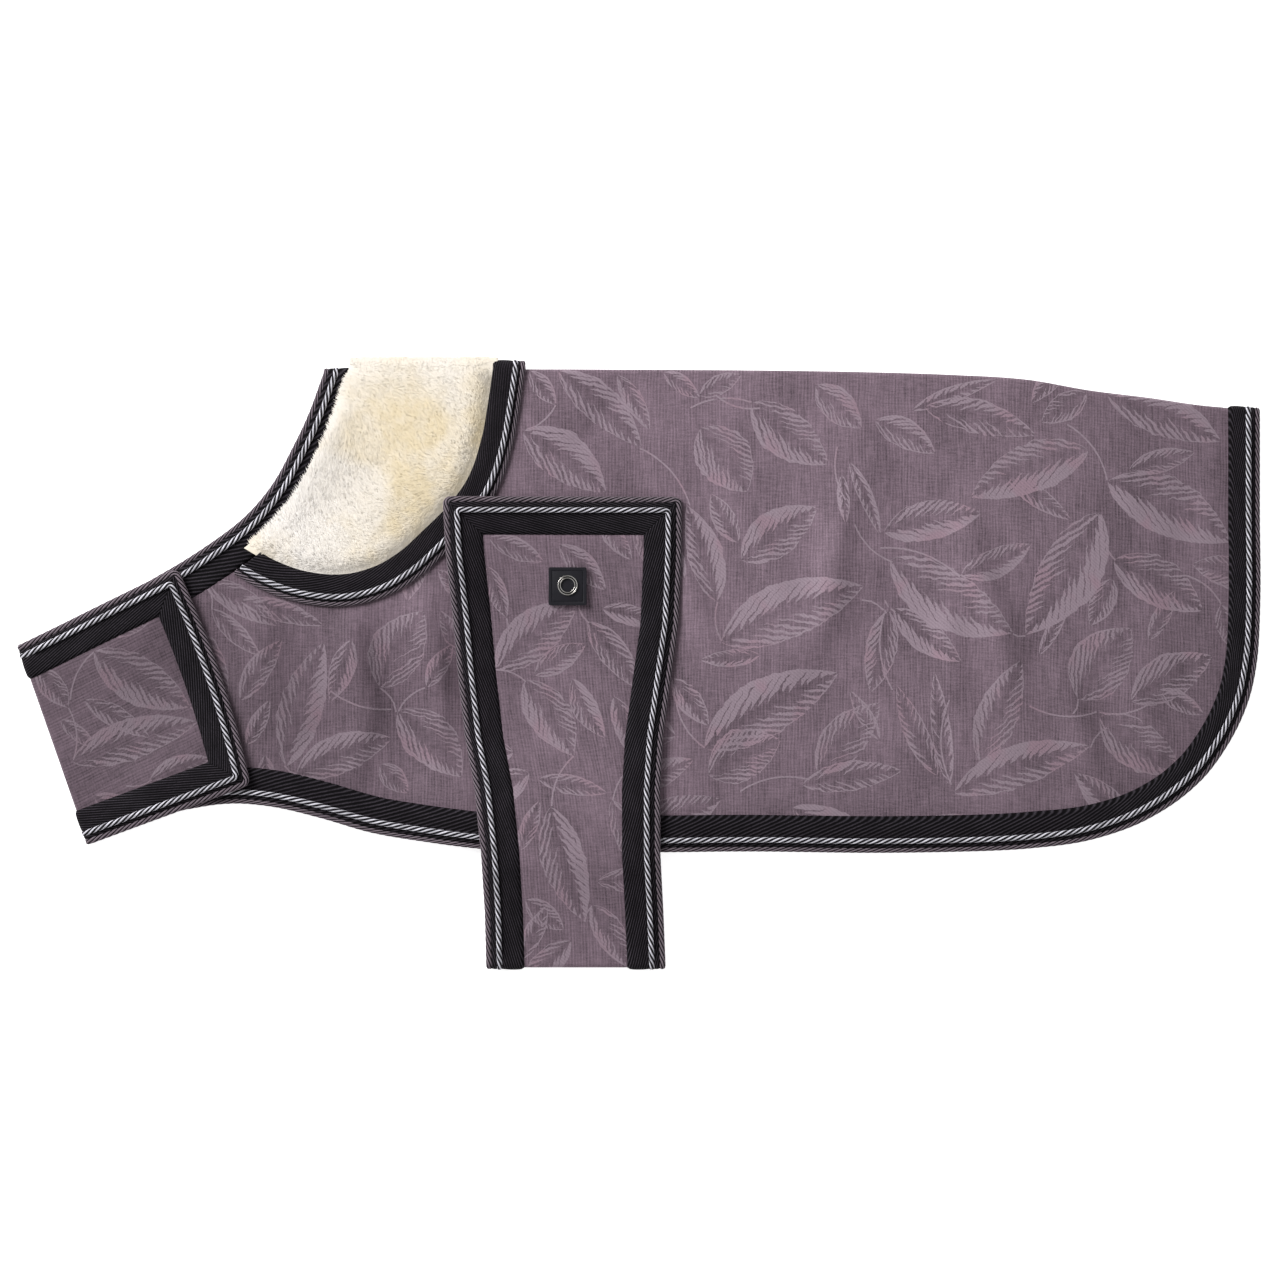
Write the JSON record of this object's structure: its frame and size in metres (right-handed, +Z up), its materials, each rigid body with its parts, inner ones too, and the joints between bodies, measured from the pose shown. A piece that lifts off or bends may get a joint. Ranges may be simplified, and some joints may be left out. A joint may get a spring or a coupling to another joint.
{
  "type": "dog winter coat",
  "caption": "Padded dog coat folded at the spine and laid flat, with a pile collar, twill binding with twisted piping, a chest strap and a belly strap with a square patch.",
  "frame": {"origin": "middle of the plan's box, on the floor that the coat lies on", "axes": "+X from the chest to the tail, +Y from the belly to the spine, +Z up from the floor"},
  "size_m": [0.747, 0.3672, 0.0232],
  "materials": {
    "jacquard": "mauve cloth with a woven leaf pattern a little lighter than its ground",
    "fleece": "cream pile",
    "binding": "black twill tape",
    "silver_piping": "twisted silver and black piping",
    "edge_piping": "twisted dark grey piping",
    "patch": "black coated patch with a pressed border",
    "ring_metal": "polished nickel"
  },
  "bodies": {
    "root": {"body_panel": "jacquard", "chest_strap": "jacquard", "belly_strap": "jacquard", "collar_fleece": "fleece", "hem_tape": "binding", "neck_tape": "binding", "collar_tape": "binding", "chest_strap_tape": "binding", "belly_strap_tape": "binding", "hem_silver_cord": "silver_piping", "neck_silver_cord": "silver_piping", "collar_silver_cord": "silver_piping", "chest_strap_silver_cord": "silver_piping", "belly_strap_silver_cord": "silver_piping", "hem_edge_cord": "edge_piping", "neck_edge_cord": "edge_piping", "collar_edge_cord": "edge_piping", "chest_strap_edge_cord": "edge_piping", "belly_strap_edge_cord": "edge_piping", "patch": "patch", "patch_ring": "ring_metal"}
  },
  "joints": []
}
